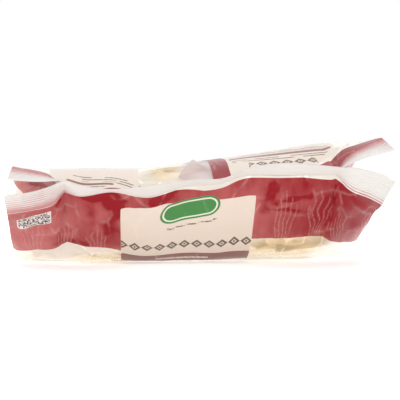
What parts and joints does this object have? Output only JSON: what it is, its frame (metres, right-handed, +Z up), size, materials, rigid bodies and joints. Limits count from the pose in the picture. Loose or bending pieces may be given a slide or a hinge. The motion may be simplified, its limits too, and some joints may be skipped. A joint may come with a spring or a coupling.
{
  "type": "film bag of dry ribbon pasta nests",
  "caption": "Printed clear film bag of dry ribbon pasta nests, side-gusseted, lying on its front, with crimped split end seals and a lengthwise back seam.",
  "frame": {"origin": "on the surface that the bag lies on, below the middle of its outline", "axes": "+Y along the bag, from the seal seen in front to the far seal; +Z up, through the bag's thickness, from its printed front to its back seam; +X to the right as seen from the near seal"},
  "size_m": [0.1958, 0.263, 0.0649],
  "materials": {
    "printed_film": "thin clear packaging film, reverse printed, softly glossy",
    "pasta": "dry egg pasta, matt and slightly rough"
  },
  "bodies": {
    "root": {"pasta_bag": "printed_film"}
  },
  "joints": []
}
